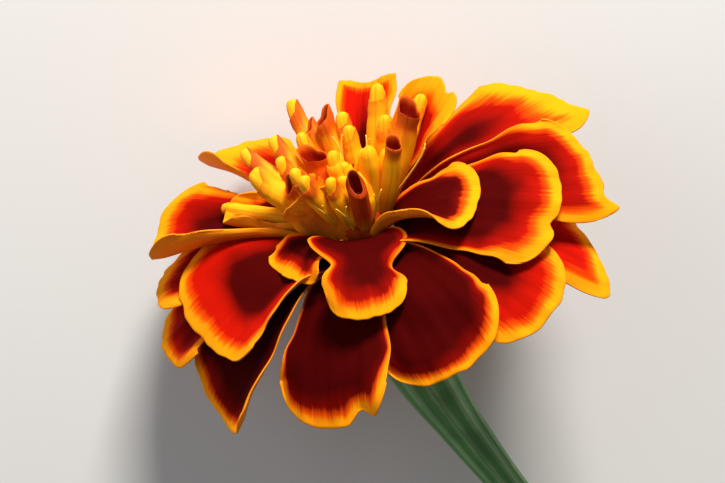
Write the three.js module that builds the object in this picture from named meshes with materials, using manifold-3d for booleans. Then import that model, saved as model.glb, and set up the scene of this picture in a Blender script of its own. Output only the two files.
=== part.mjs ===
// A French marigold in full bloom, cut with its stalk and laid down on a table.
// Millimetres, +Z up. The flower is modelled in its own frame: +X is the side that faces up once it lies
// down, +Y is to its right and +Z runs out of the head. One nested group then lays it on the table.
import * as THREE from 'three';
import { mergeVertices } from 'three/addons/utils/BufferGeometryUtils.js';
import Module from 'manifold-3d';

const manifoldLibrary = await Module();
manifoldLibrary.setup();

// ---- driving dimensions -------------------------------------------------------------------------------
const petalThickness = 0.6;
const fitGap = 0.3;                // clear gap between two pieces that touch on the plant
const stalkLength = 74;            // from the seat of the petals to the cut end, along the head's axis
const lyingTilt = 16.85;         // degrees that the head's axis rises above the table
const headPlace = [-1.07, 26.86, 22.7];    // where the middle of the head lies over the table

// radius and height of the seats on which the three whorls of ray petals stand
const seats = {
  lower: [5.0, -2.0],
  middle: [4.2, -0.6],
  inner: [3.4, 0.8],
};

// Every ray petal. root: azimuth of its seat. tip: azimuth, radius and height of its end. rise and droop:
// angle over the horizontal at which the midrib leaves the seat and reaches the tip. curl: how far the left
// and the right margin turn up, halfway and at the tip. lean: how far the blade turns about its midrib,
// halfway and at the tip. channel: how far the claw's margins stand up. neck: how much narrower the claw is
// at its seat. Angles are degrees; the right margin is the one at the larger azimuth.
const petals = {
  lower_petal_01: { whorl: 'lower', root: -26, tip: [-31, 20.6, -13.4], rise: 22, droop: -62, half: 7.6,
    curl: [-15, -35, -15, 35], claw: 0.45, flare: 0.75, notches: [[0.45, 1.6, 0.2]] },
  lower_petal_02: { whorl: 'lower', root: -60, tip: [-79, 24.6, -12.8], rise: 30, droop: -50, half: 8.8,
    curl: [-15, 30, -15, 60], lean: [-8, -25], skew: 0.1, claw: 0.2, flare: 1 },
  lower_petal_03: { whorl: 'lower', root: 8, tip: [15, 21, -10.2], rise: 28, droop: -48, half: 7.9,
    curl: [-30, -10, -30, -10], lean: [15, 14], round: 0.34, claw: 0.45, flare: 0.8 },
  lower_petal_04: { whorl: 'lower', root: 40, tip: [46, 24.3, -9.2], rise: 36, droop: -40, half: 6.8,
    curl: [-5, -10, -10, -10], lean: [24, 24], claw: 0.14, flare: 1, channel: 25 },
  lower_petal_05: { whorl: 'lower', root: 72, tip: [72, 26.6, -7.6], rise: 40, droop: -40, half: 6.4,
    curl: [-5, -10, -30, -10], lean: [-4, -4], skew: -0.22, round: 0.12 },
  lower_petal_06: { whorl: 'lower', root: 116, tip: [124, 25.4, -3.6], rise: 40, droop: -20, half: 7,
    curl: [0, 0, -10, -10], flare: 1.5 },
  lower_petal_07: { whorl: 'lower', root: 146, tip: [150, 25.8, -2.4], rise: 40, droop: -15, half: 6,
    curl: [0, 0, -10, -10], flare: 1.8 },
  lower_petal_08: { whorl: 'lower', root: 178, tip: [180, 22.6, -2.8], rise: 40, droop: -15, half: 6,
    curl: [0, 0, -10, -10], flare: 1.8 },
  lower_petal_09: { whorl: 'lower', root: -154, tip: [-151, 25.4, -2.6], rise: 40, droop: -15, half: 6,
    curl: [0, 0, -10, -10], flare: 1.8 },
  lower_petal_10: { whorl: 'lower', root: -134, tip: [-127, 28, 2], rise: 34, droop: 0, half: 5.4,
    curl: [10, 0, 20, 0] },
  lower_petal_11: { whorl: 'lower', root: -106, tip: [-108, 27.8, -2], rise: 35, droop: -15, half: 5.4,
    curl: [0, 0, 0, 0], lean: [-10, -14] },
  lower_petal_12: { whorl: 'lower', root: -84, tip: [-100, 28.4, -8], rise: 34, droop: -35, half: 6.4,
    curl: [-20, 10, -20, 10], lean: [-6, -22] },
  middle_petal_01: { whorl: 'middle', root: -74, tip: [-84, 23, -3.2], rise: 32, droop: -28, half: 9.6,
    curl: [-15, 60, -15, 30], lean: [-26, -30], round: 0.3, claw: 0.5, flare: 0.8, channel: 15 },
  middle_petal_02: { whorl: 'middle', root: 62, tip: [68, 24.8, -0.2], rise: 55, droop: -12, half: 7.6,
    curl: [-12, -10, -5, -15], lean: [24, 34], claw: 0.6, flare: 1.3, channel: 40,
    notches: [[-0.3, 0.9, 0.1]] },
  middle_petal_03: { whorl: 'middle', root: 94, tip: [80, 29.1, 1.4], rise: 44, droop: -6, half: 6.7,
    curl: [0, 100, 0, -25], lean: [38, 38], claw: 0.25, flare: 1.4, fold: 2.2, round: 0.16, skew: -0.08,
    notches: [[-0.85, -1.9, 0.16]] },
  middle_petal_04: { whorl: 'middle', root: 124, tip: [106, 28.2, 5.8], rise: 42, droop: 8, half: 7.2,
    curl: [0, 10, 10, -30], lean: [20, 20], flare: 1.6, round: 0.15, skew: -0.1,
    notches: [[-0.85, -1.2, 0.17]] },
  middle_petal_05: { whorl: 'middle', root: 146, tip: [142, 22, 3], rise: 50, droop: 0, half: 6.4,
    curl: [10, 10, 0, 0], lean: [10, 12], flare: 1.5 },
  middle_petal_06: { whorl: 'middle', root: -176, tip: [-176, 21, 3.2], rise: 50, droop: 0, half: 5.4,
    curl: [10, 10, 0, 0], lean: [10, 12], flare: 1.8 },
  middle_petal_07: { whorl: 'middle', root: -146, tip: [-146, 24.5, 7.4], rise: 46, droop: 8, half: 6.6,
    curl: [10, 85, 10, 110], lean: [2, 2] },
  middle_petal_08: { whorl: 'middle', root: -114, tip: [-115, 27.2, 3.2], rise: 30, droop: -4, half: 7.4,
    curl: [-10, 120, -10, 120], lean: [-22, -28], fold: 1.1 },
  inner_petal_01: { whorl: 'inner', root: -10, tip: [-8, 15.7, -2], rise: 58, droop: -42, half: 4.9,
    curl: [10, 10, -30, -30], lean: [-24, -14], wave: [1, 1.5, 0], waist: [0.32, 0.5], claw: 1.3,
    neck: 0.5, flare: 1, channel: 45 },
  inner_petal_02: { whorl: 'inner', root: -62, tip: [-66, 11.6, 1.4], rise: 60, droop: -25, half: 5.4,
    curl: [20, 10, 0, 0], lean: [0, -6], wave: [0.8, 1.5, 0.3], claw: 0.4, neck: 0.4 },
  inner_petal_03: { whorl: 'inner', root: 50, tip: [63, 15.7, 2.6], rise: 52, droop: -8, half: 6,
    curl: [100, 30, 20, 10], lean: [10, 10], claw: 0.45 },
  inner_petal_04: { whorl: 'inner', root: 122, tip: [111, 17, 13], rise: 65, droop: 40, half: 4.5,
    curl: [10, 100, 0, 110], claw: 0.28, channel: 25 },
  inner_petal_05: { whorl: 'inner', root: 160, tip: [153, 15.5, 13.4], rise: 65, droop: 50, half: 3.8,
    curl: [15, 15, 10, 10], round: 0, notches: [[0, 0.7, 0.5]] },
  inner_petal_06: { whorl: 'inner', root: -116, tip: [-117, 16.8, 5.4], rise: 22, droop: 20, half: 3.6,
    curl: [50, 150, 50, 160], lean: [-35, -40], fold: 1, claw: 0.5, channel: 30 },
  inner_petal_07: { whorl: 'inner', root: -58, tip: [-58, 6.1, 9.7], rise: 76, droop: 66, half: 4.1,
    curl: [12, 12, 5, 5], lean: [45, 48], claw: 0.6, flare: 0.9, channel: 30 },
};

// The quilled florets that stand highest: azimuth, radius and height of the mouth, and the mouth's radius.
const tallQuills = [
  [-166, 11.6, 13.8, 1.2], [177, 6.6, 14, 1.25], [130, 9.5, 14.2, 1.4], [92, 10.3, 14, 1.65],
  [68, 7.6, 12, 1.25], [142, 4, 12, 1.2], [-134, 13.8, 10.6, 1.2], [-142, 10.2, 11.6, 1.2],
  [-128, 3.1, 12, 1.7], [-110, 10.2, 10.4, 1.65], [13, 5.4, 10, 1.35], [-22, 4.3, 10, 1.15],
  [-92, 6.4, 10, 1.2], [112, 12.6, 12, 1.3], [160, 6.6, 12.6, 1.2], [-168, 8.4, 12.4, 1.15],
  [-152, 6.4, 12, 1.2], [108, 7.2, 12.2, 1.2], [-122, 7.4, 10.8, 1.2],
];
const quillFoot = { reach: 0.45, limit: 2.8, height: 2.4 };   // share of the mouth's radius, at most, height
const quillBow = 0.45;             // how far a quill bulges outwards halfway up
const shortQuills = 10;
const quillSides = 6;

// height and radius of the receptacle, the rim of joined bracts, the cup and the stalk, from the top down
const receptacleProfile = [[1.0, 1.6], [0.4, 2.7], [-1.0, 3.7], [-2.9, 4.6]];
const rimProfile = [[-2.8, 5.1], [-3.1, 5.5]];
const stalkProfile = [
  [-5, 5.5], [-8, 5.3], [-12, 5.0], [-17, 4.4], [-22, 3.8], [-29, 3.0], [-38, 2.4], [-50, 2.0],
  [-62, 1.8], [-stalkLength, 1.7],
];
const bractCount = 10;
const bractTooth = 0.55;         // how far each bract's point stands over the notch beside it, halved
const ribRelief = 0.035;           // of the radius, along the middle of each bract
const stalkBend = { start: 20, slope: 0.3, softness: 8 };   // the stalk swings to the right below the cup
const stalkSides = 20;

const colours = { petal: 0xa01505, florets: 0xf0a408, stalk: 0x55884a };

// ---- small helpers ------------------------------------------------------------------------------------
const radians = THREE.MathUtils.degToRad;
const ease = (x) => THREE.MathUtils.smoothstep(x, 0, 1);
const clamp01 = (x) => THREE.MathUtils.clamp(x, 0, 1);
const mix = THREE.MathUtils.lerp;

function cylindrical(azimuth, radius, height) {
  const a = radians(azimuth);
  return new THREE.Vector3(radius * Math.cos(a), radius * Math.sin(a), height);
}

function heading(azimuth, elevation) {
  const e = radians(elevation);
  return cylindrical(azimuth, Math.cos(e), Math.sin(e));
}

// A repeatable draw between -1 and 1 for each floret.
function seededDraws(seed) {
  let state = seed;
  return () => {
    state = (state * 1664525 + 1013904223) % 4294967296;
    return (state / 4294967296) * 2 - 1;
  };
}

function toManifold(geometry) {
  const bare = geometry.clone();
  bare.deleteAttribute('normal');
  bare.deleteAttribute('uv');
  const welded = mergeVertices(bare, 1e-5);
  return new manifoldLibrary.Manifold(new manifoldLibrary.Mesh({
    numProp: 3,
    vertProperties: new Float32Array(welded.attributes.position.array),
    triVerts: new Uint32Array(welded.index.array),
  }));
}

function toGeometry(solid) {
  const mesh = solid.getMesh();
  const geometry = new THREE.BufferGeometry();
  geometry.setAttribute('position', new THREE.BufferAttribute(new Float32Array(mesh.vertProperties), 3));
  geometry.setIndex(new THREE.BufferAttribute(new Uint32Array(mesh.triVerts), 1));
  geometry.computeVertexNormals();
  return geometry;
}

// The biggest of the pieces that a cut leaves; the scraps are dropped.
function biggestPiece(solid) {
  return solid.decompose().sort((a, b) => b.volume() - a.volume())[0];
}

// ---- ray petals ---------------------------------------------------------------------------------------
const petalRows = 9;
const petalColumns = 8;
const bendSteps = 14;
const curlStart = 0.35;            // part of the length over which the channel of the claw opens out
const neckLength = 0.25;           // part of the length over which a claw with a neck widens

function petalMidrib(petal) {
  const start = cylindrical(petal.root, ...seats[petal.whorl]);
  const end = cylindrical(...petal.tip);
  const reach = start.distanceTo(end) * 0.38;
  return new THREE.CubicBezierCurve3(
    start,
    start.clone().addScaledVector(heading(petal.root, petal.rise), reach),
    end.clone().addScaledVector(heading(petal.tip[0], petal.droop), -reach),
    end,
  );
}

// How far out of the blade's plane and across it a point lies, when the margin turns up by `turn`.
function crossSection(turn, across, fold) {
  let flat = 0;
  let lift = 0;
  for (let step = 0; step < bendSteps; step += 1) {
    const angle = turn * ((step + 0.5) / bendSteps * across) ** fold;
    flat += Math.cos(angle) * across / bendSteps;
    lift += Math.sin(angle) * across / bendSteps;
  }
  return [flat, lift];
}

// The middle sheet of a petal: point, width direction and length direction at along 0..1, side -1..1.
function petalPoint(petal, midrib, length, along, side) {
  const { claw = 0.13, neck = 0, flare = 1.2, channel = 75, fold = 1.4 } = petal;
  const { round = 0.26, skew = 0, lean = [0, 0] } = petal;
  const [waveHeight, waveTurns, wavePhase] = petal.wave ?? [0.5, 1.5, 0];
  const [waistDepth, waistPlace] = petal.waist ?? [0, 0.5];
  const [leftHalfway, rightHalfway, leftTip, rightTip] = petal.curl;
  const left = side < 0;
  const across = Math.abs(side);

  // the rounded, notched outline pulls the end rows back towards the claw
  const roundEnd = 1 - round * (1 - (1 - across ** 2.3) ** (1 / 2.3));
  let place = along * (1 - along ** 3 * (1 - roundEnd)) + skew * side * along ** 4;
  for (const [middle, depth, spread] of petal.notches ?? []) {
    place -= depth / length * Math.exp(-(((side - middle) / spread) ** 2)) * along ** 10;
  }
  const opening = Math.sin(clamp01((along - 0.08) / 0.92) * Math.PI / 2) ** flare;
  const waist = 1 - waistDepth * Math.exp(-(((along - waistPlace) / 0.13) ** 2));
  const seatWidth = 1 - neck * (1 - ease(along / neckLength));
  const halfWidth = petal.half * (claw + (1 - claw) * opening) * waist * seatWidth;

  // frame that travels along the midrib and leans about it
  const onRib = clamp01(place);
  const lengthwise = midrib.getTangentAt(onRib);
  const origin = midrib.getPointAt(onRib).addScaledVector(lengthwise, (place - onRib) * length);
  const turn = THREE.MathUtils.euclideanModulo(petal.tip[0] - petal.root + 180, 360) - 180;
  const crosswise = heading(petal.root + turn * place + 90, 0);
  crosswise.addScaledVector(lengthwise, -crosswise.dot(lengthwise)).normalize();
  const outward = new THREE.Vector3().crossVectors(lengthwise, crosswise);
  const leanNow = radians(lean[0] * Math.sin(clamp01(place / 0.6) * Math.PI / 2)
    + (lean[1] - lean[0]) * ease((place - 0.45) / 0.55));
  const widthwise = crosswise.clone().multiplyScalar(Math.cos(leanNow))
    .addScaledVector(outward, Math.sin(leanNow));
  const upwards = outward.clone().multiplyScalar(Math.cos(leanNow))
    .addScaledVector(crosswise, -Math.sin(leanNow));

  // margins: channel at the claw, then the curl, then waves and fine pleats
  const toTip = ease((place - 0.35) / 0.6);
  const curl = (left ? mix(leftHalfway, leftTip, toTip) : mix(rightHalfway, rightTip, toTip))
    * ease(place / 0.3) + channel * (1 - ease(place / curlStart));
  const [flat, lift] = crossSection(radians(curl), across, fold);
  const wave = waveHeight * across ** 2.5 * ease((along - 0.25) / 0.4)
    * Math.sin(2 * Math.PI * (waveTurns * place + wavePhase) + (left ? 1.7 : 0));
  const pleat = 0.1 * Math.cos(9 * side) * ease((along - 0.2) / 0.4) * (1 - across ** 4);

  const point = origin
    .addScaledVector(widthwise, flat * halfWidth * Math.sign(side))
    .addScaledVector(upwards, lift * halfWidth + wave + pleat);
  return { point, widthwise, lengthwise };
}

// A closed blade around that sheet. `grow` makes the larger body that keeps its neighbours clear of it.
function petalGeometry(petal, grow = 0) {
  const midrib = petalMidrib(petal);
  const length = midrib.getLength();
  const sheet = [];
  for (let row = 0; row <= petalRows; row += 1) {
    for (let column = 0; column <= petalColumns; column += 1) {
      const side = Math.sin((column / petalColumns * 2 - 1) * Math.PI / 2);
      const { point, widthwise, lengthwise } = petalPoint(petal, midrib, length, row / petalRows, side);
      const ends = Number(row === petalRows) - Number(row === 0);
      point.addScaledVector(widthwise, grow * Math.sign(side) * Number(Math.abs(side) > 0.999));
      point.addScaledVector(lengthwise, grow * ends);
      sheet.push(point);
    }
  }
  const pitch = petalColumns + 1;
  const at = (row, column) => sheet[
    THREE.MathUtils.clamp(row, 0, petalRows) * pitch + THREE.MathUtils.clamp(column, 0, petalColumns)];
  const positions = [];
  for (const face of [1, -1]) {
    for (let row = 0; row <= petalRows; row += 1) {
      for (let column = 0; column <= petalColumns; column += 1) {
        const down = new THREE.Vector3().subVectors(at(row + 1, column), at(row - 1, column));
        const over = new THREE.Vector3().subVectors(at(row, column + 1), at(row, column - 1));
        const normal = down.cross(over).normalize();
        const half = petalThickness / 2 + grow;
        positions.push(...at(row, column).clone().addScaledVector(normal, half * face));
      }
    }
  }
  return closedSheet(positions, petalRows, petalColumns);
}

// Triangles for two matching grids, upper then lower, joined round their border.
function closedSheet(positions, rows, columns) {
  const pitch = columns + 1;
  const lower = (rows + 1) * pitch;
  const index = [];
  for (let row = 0; row < rows; row += 1) {
    for (let column = 0; column < columns; column += 1) {
      const a = row * pitch + column;
      const b = a + pitch;
      index.push(a, b, b + 1, a, b + 1, a + 1);
      index.push(lower + a, lower + b + 1, lower + b, lower + a, lower + a + 1, lower + b + 1);
    }
  }
  const border = [];
  for (let row = 0; row < rows; row += 1) border.push(row * pitch);
  for (let column = 0; column < columns; column += 1) border.push(rows * pitch + column);
  for (let row = rows; row > 0; row -= 1) border.push(row * pitch + columns);
  for (let column = columns; column > 0; column -= 1) border.push(column);
  border.forEach((from, place) => {
    const to = border[(place + 1) % border.length];
    index.push(from, lower + from, lower + to, from, lower + to, to);
  });
  const geometry = new THREE.BufferGeometry();
  geometry.setAttribute('position', new THREE.Float32BufferAttribute(positions, 3));
  geometry.setIndex(index);
  return geometry;
}

// ---- disc florets and stalk ---------------------------------------------------------------------------
// A closed body swept through rings of points; the first and last ring close on their middle.
function sweptGeometry(rings) {
  const sides = rings[0].length;
  const positions = [];
  const index = [];
  const middle = (ring) => ring.reduce((sum, p) => sum.add(p), new THREE.Vector3()).divideScalar(sides);
  for (const ring of rings) {
    for (const point of ring) positions.push(...point);
  }
  positions.push(...middle(rings[0]), ...middle(rings[rings.length - 1]));
  const first = rings.length * sides;
  const last = first + 1;
  const top = (rings.length - 1) * sides;
  for (let side = 0; side < sides; side += 1) {
    const next = (side + 1) % sides;
    for (let ring = 0; ring < rings.length - 1; ring += 1) {
      const a = ring * sides;
      const b = a + sides;
      index.push(a + side, a + next, b + next, a + side, b + next, b + side);
    }
    index.push(first, next, side, last, top + side, top + next);
  }
  const geometry = new THREE.BufferGeometry();
  geometry.setAttribute('position', new THREE.Float32BufferAttribute(positions, 3));
  geometry.setIndex(index);
  return geometry;
}

// A floret rolled into a quill: a bent tube with an open, slanting mouth.
function quillGeometry(base, mouth, baseRadius, mouthRadius, slant) {
  const outward = new THREE.Vector3(mouth.x, mouth.y, 0).normalize();
  const middle = base.clone().lerp(mouth, 0.5).addScaledVector(outward, quillBow);
  middle.z -= quillBow / 2;
  const axis = new THREE.QuadraticBezierCurve3(base, middle, mouth);
  const ring = (along, radius, sink, tilt) => {
    const ahead = axis.getTangent(along);
    const sideways = new THREE.Vector3(0.1, 1, 0.2).cross(ahead).normalize();
    const back = new THREE.Vector3().crossVectors(ahead, sideways);
    const centre = axis.getPoint(along).addScaledVector(ahead, -sink);
    return Array.from({ length: quillSides }, (_, side) => {
      const turn = (side / quillSides) * 2 * Math.PI;
      return centre.clone()
        .addScaledVector(sideways, radius * Math.cos(turn))
        .addScaledVector(back, radius * Math.sin(turn))
        .addScaledVector(ahead, tilt * Math.cos(turn));
    });
  };
  const wall = Math.min(0.45, mouthRadius * 0.4);
  return sweptGeometry([
    ring(0, baseRadius, 0, 0),
    ring(0.55, mix(baseRadius, mouthRadius, 0.4), 0, 0),
    ring(1, mouthRadius, 0, slant),
    ring(1, mouthRadius - wall, 0.1, slant),
    ring(1, mouthRadius - wall * 1.5, 1.3, 0),
  ]);
}

function discFlorets() {
  const draw = seededDraws(11);
  const heart = new THREE.SphereGeometry(3.4, 12, 7);
  heart.scale(1, 0.8, 1).rotateX(Math.PI / 2).translate(0, 0, 3);
  let florets = toManifold(heart);
  for (const [azimuth, radius, height, mouthRadius] of tallQuills) {
    const base = cylindrical(azimuth, Math.min(quillFoot.limit, radius * quillFoot.reach), quillFoot.height);
    const mouth = cylindrical(azimuth, radius, height);
    const baseRadius = 0.25 + 0.6 * mouthRadius;
    florets = florets.add(toManifold(quillGeometry(base, mouth, baseRadius, mouthRadius, 0.6)));
  }
  const goldenAngle = 137.5;
  for (let count = 0; count < shortQuills; count += 1) {
    const ring = Math.sqrt((count + 0.5) / shortQuills);
    const azimuth = 60 + count * goldenAngle;
    const upright = 90 - (30 - 20 * Math.cos(radians(azimuth))) * ring + 7 * draw();
    const length = 7.5 + 1.5 * ring + 1.6 * draw();
    const base = cylindrical(azimuth, 2 * ring, quillFoot.height);
    const mouth = base.clone().addScaledVector(heading(azimuth, upright), length);
    florets = florets.add(toManifold(quillGeometry(base, mouth, 0.9, 1.2, 0.45)));
  }
  return florets;
}

function stalk(grow = 0) {
  const swing = (height) => {
    const below = -height - stalkBend.start;
    return stalkBend.slope * (Math.hypot(below, stalkBend.softness) + below) / 2;
  };
  const ring = (height, radius, tooth, relief) => Array.from({ length: stalkSides }, (_, side) => {
    const turn = (side / stalkSides) * 2 * Math.PI;
    const bract = Math.cos(bractCount * turn);
    const edge = radius * (1 + relief * bract) + grow;
    const level = height + grow + tooth * bract;
    return new THREE.Vector3(edge * Math.cos(turn), swing(height) + edge * Math.sin(turn), level);
  });
  const rings = [
    ...receptacleProfile.map(([height, radius]) => ring(height, radius, 0, 0)),
    ...rimProfile.map(([height, radius]) => ring(height, radius, bractTooth, ribRelief)),
    ...stalkProfile.map(([height, radius]) => ring(height, radius, 0, ribRelief)),
  ];
  return toManifold(sweptGeometry(rings.reverse()));
}

// ---- assembly -----------------------------------------------------------------------------------------
const tilt = radians(lyingTilt);
const lay = new THREE.Matrix4().makeBasis(
  new THREE.Vector3(0, -Math.sin(tilt), Math.cos(tilt)),
  new THREE.Vector3(1, 0, 0),
  new THREE.Vector3(0, Math.cos(tilt), Math.sin(tilt)),
).setPosition(...headPlace);

// What would reach below the table's surface is cut off: the small flats that the flower rests on.
const table = new THREE.BoxGeometry(200, 200, 20);
table.translate(0, 0, -10);
const underTable = toManifold(table.applyMatrix4(lay.clone().invert()));

// The room that a petal needs. The half-grown blade fills the creases that the whole gap leaves in a tight roll.
const clearBody = (petal) => toManifold(petalGeometry(petal, fitGap))
  .add(toManifold(petalGeometry(petal, fitGap / 2)));

// Each petal is trimmed where it would meet one that comes before it in the table.
const bodies = [];
const clearances = [];
for (const [name, petal] of Object.entries(petals)) {
  const trimmed = clearances.reduce((body, clear) => body.subtract(clear), toManifold(petalGeometry(petal)));
  bodies.push({ name, solid: trimmed.subtract(underTable), colour: colours.petal });
  clearances.push(clearBody(petal));
}
const seatedFlorets = clearances.reduce((body, clear) => body.subtract(clear), discFlorets());
const seatedStalk = clearances.reduce((body, clear) => body.subtract(clear), stalk());
bodies.push({ name: 'disc_florets', solid: seatedFlorets.subtract(stalk(fitGap)), colour: colours.florets });
bodies.push({ name: 'stalk_and_cup', solid: seatedStalk.subtract(underTable), colour: colours.stalk });

const marigold = new THREE.Group();
for (const { name, solid, colour } of bodies) {
  const material = new THREE.MeshStandardMaterial({ color: colour, roughness: 0.6, metalness: 0 });
  const mesh = new THREE.Mesh(toGeometry(biggestPiece(solid)), material);
  mesh.name = name;
  marigold.add(mesh);
}
marigold.applyMatrix4(lay);

export default marigold;
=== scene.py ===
"""A French marigold in full bloom, cut with its stalk and laid down on a pale table.

Sizes are millimetres in the flower's own frame: +X is the side that faces up once the flower lies down,
+Y is to its right and +Z runs out of the head. Lie brings points from there to the table, in metres.
"""
import logging
import math
from dataclasses import dataclass, field
from enum import Enum
from typing import Any

import bpy
import numpy as np
from mathutils import Matrix, Vector


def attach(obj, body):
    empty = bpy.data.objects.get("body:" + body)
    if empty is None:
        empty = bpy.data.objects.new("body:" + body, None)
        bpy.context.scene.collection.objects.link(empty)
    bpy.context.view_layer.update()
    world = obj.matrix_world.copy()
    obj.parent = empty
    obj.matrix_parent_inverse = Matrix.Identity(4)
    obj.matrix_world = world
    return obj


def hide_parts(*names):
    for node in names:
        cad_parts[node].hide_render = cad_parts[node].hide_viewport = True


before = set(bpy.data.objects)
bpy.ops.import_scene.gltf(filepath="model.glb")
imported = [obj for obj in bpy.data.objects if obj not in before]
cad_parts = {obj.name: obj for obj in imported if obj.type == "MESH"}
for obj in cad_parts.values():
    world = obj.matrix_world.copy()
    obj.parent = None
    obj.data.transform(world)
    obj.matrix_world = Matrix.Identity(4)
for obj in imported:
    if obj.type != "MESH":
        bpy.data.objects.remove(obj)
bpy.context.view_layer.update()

MM = 0.001

log = logging.getLogger("marigold")

Colour = tuple[float, float, float]
Array = np.ndarray
Pair = tuple[float, float]
Triple = tuple[float, float, float]


# ---- numbers and vectors ----
def ease(x: Array | float) -> Array:
    """Returns 0 below 0, 1 above 1, and a smooth rise between."""
    x = np.clip(x, 0.0, 1.0)
    return x * x * (3 - 2 * x)


def cylindrical(azimuth: Array | float, radius: float, height: float) -> Array:
    """Returns points by degrees about the head's axis, radius from it and height along it."""
    a = np.radians(azimuth)
    return np.stack([radius * np.cos(a), radius * np.sin(a), height + 0 * a], -1)


def heading(azimuth: float, elevation: float) -> Array:
    """Returns a unit direction by degrees about the head's axis and over the plane across it."""
    e = math.radians(elevation)
    return cylindrical(azimuth, math.cos(e), math.sin(e))


def around(count: int) -> Array:
    """Returns angles evenly round one turn, in radians."""
    return np.linspace(0, 2 * math.pi, count, endpoint=False)


def unit(v: Array) -> Array:
    """Returns vectors scaled to length 1."""
    return v / np.maximum(np.linalg.norm(v, axis=-1, keepdims=True), 1e-12)


def bezier(corners: list[Array], f: Array) -> tuple[Array, Array]:
    """Follows a cubic curve.

    Args:
        corners: its four control points.
        f: parameters from 0 to 1.

    Returns:
        The points and the unit directions there.
    """
    a, b, c, d = corners
    f = np.asarray(f, float)[..., None]
    g = 1 - f
    points = g ** 3 * a + 3 * g * g * f * b + 3 * g * f * f * c + f ** 3 * d
    return points, unit(3 * g * g * (b - a) + 6 * g * f * (c - b) + 3 * f * f * (d - c))


def swell(u: Array, v: Array, seed: float) -> Array:
    """Gives a smooth, irregular ripple between about -1 and 1.

    Args:
        u: first coordinate, one turn for each 2 pi or so.
        v: second coordinate.
        seed: which ripple.

    Returns:
        Its height.
    """
    out = np.zeros(np.broadcast(u, v).shape)
    for turn in range(5):
        a = seed * 12.9898 + turn * 2.399
        pace = 0.7 + 0.31 * turn
        out = out + np.sin(pace * (u * math.cos(a) + v * math.sin(a)) + 7.1 * a)
    return out / 2.6


@dataclass(frozen=True)
class Lie:
    """How the flower lies on the table."""

    tilt_deg: float = 16.85
    head_place: Triple = (-1.07, 26.86, 22.7)

    def axes(self) -> Array:
        """Returns the matrix whose columns are the flower's axes."""
        s, c = math.sin(math.radians(self.tilt_deg)), math.cos(math.radians(self.tilt_deg))
        return np.array([[0.0, 1.0, 0.0], [-s, 0.0, c], [c, 0.0, s]])

    def on_table(self, points: Array) -> Array:
        """Brings points to the table.

        Args:
            points: millimetres in the flower's frame.

        Returns:
            Metres in the table's frame, none of them under its surface.
        """
        out = (points.reshape(-1, 3) @ self.axes().T + np.array(self.head_place)) * MM
        out[:, 2] = np.maximum(out[:, 2], 0.0)
        return out


# ---- shader writing ----
class Shade:
    """A value socket that sums and products can be written with."""

    def __init__(self, desk: "Desk", socket: bpy.types.NodeSocket | None) -> None:
        """Wraps an output socket of a desk."""
        self.desk, self.socket = desk, socket

    def __add__(self, other: "Shade | float") -> "Shade":
        """Returns self + other."""
        return self.desk.sum_of("ADD", self, other)

    def __sub__(self, other: "Shade | float") -> "Shade":
        """Returns self - other."""
        return self.desk.sum_of("SUBTRACT", self, other)

    def __rsub__(self, other: float) -> "Shade":
        """Returns other - self."""
        return self.desk.sum_of("SUBTRACT", other, self)

    def __mul__(self, other: "Shade | float") -> "Shade":
        """Returns self * other."""
        return self.desk.sum_of("MULTIPLY", self, other)

    __radd__ = __add__
    __rmul__ = __mul__


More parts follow.
